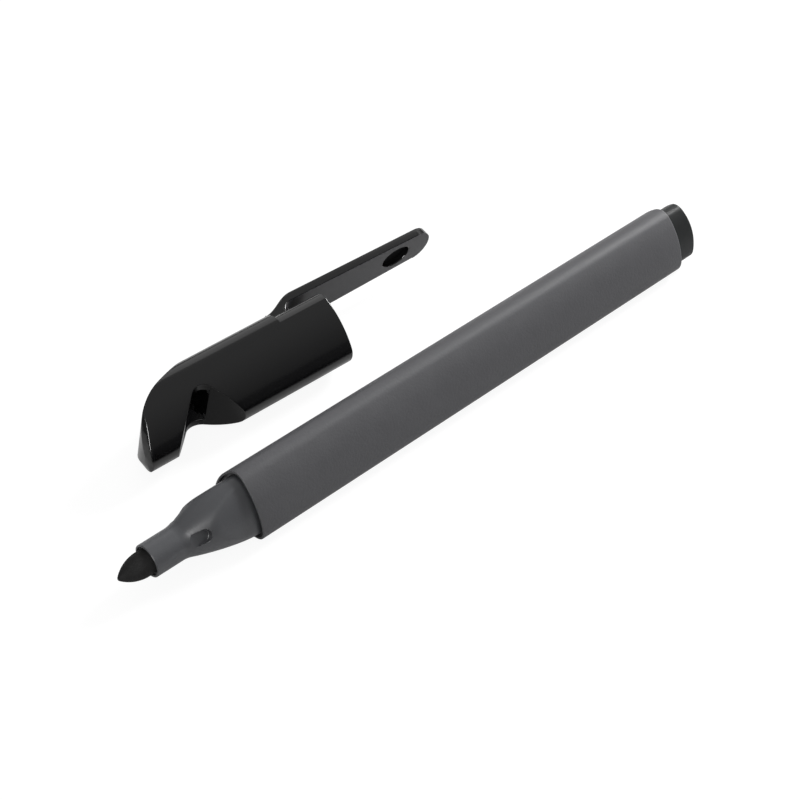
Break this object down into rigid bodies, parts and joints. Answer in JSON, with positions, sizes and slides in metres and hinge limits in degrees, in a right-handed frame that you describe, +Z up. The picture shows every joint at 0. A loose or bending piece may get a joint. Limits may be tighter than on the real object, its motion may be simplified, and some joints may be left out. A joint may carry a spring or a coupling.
{
  "type": "permanent marker",
  "caption": "Three-sided felt-tip marker lying uncapped, with a beaked, notched clip cap that pulls off beside it.",
  "frame": {"origin": "on the desk under the middle of the barrel, where the barrel's convex lower side touches the desk", "axes": "+X along the marker from the nib to the end plug, +Y across the desk towards the lying cap, +Z up"},
  "size_m": [0.1308, 0.036, 0.0135],
  "materials": {
    "barrel_grey": "matte, finely textured",
    "nose_grey": "satin",
    "nib_felt": "ink-soaked felt",
    "reservoir_fibre": "ink-soaked fibre",
    "film_clear": "clear film",
    "plug_charcoal": "satin",
    "cap_black": "glossy",
    "liner_grey": "satin"
  },
  "bodies": {
    "marker": {"barrel": "barrel_grey", "nose": "nose_grey", "nib": "nib_felt", "ink_reservoir": "reservoir_fibre", "reservoir_film": "film_clear", "end_plug": "plug_charcoal"},
    "cap": {"cap_shell": "cap_black", "cap_liner": "liner_grey"}
  },
  "joints": [
    {"name": "cap_slide", "type": "slide", "parent": "marker", "child": "cap", "axis": [-0.9994, 0.0349, 0], "range_m": [0, 0.09]}
  ]
}
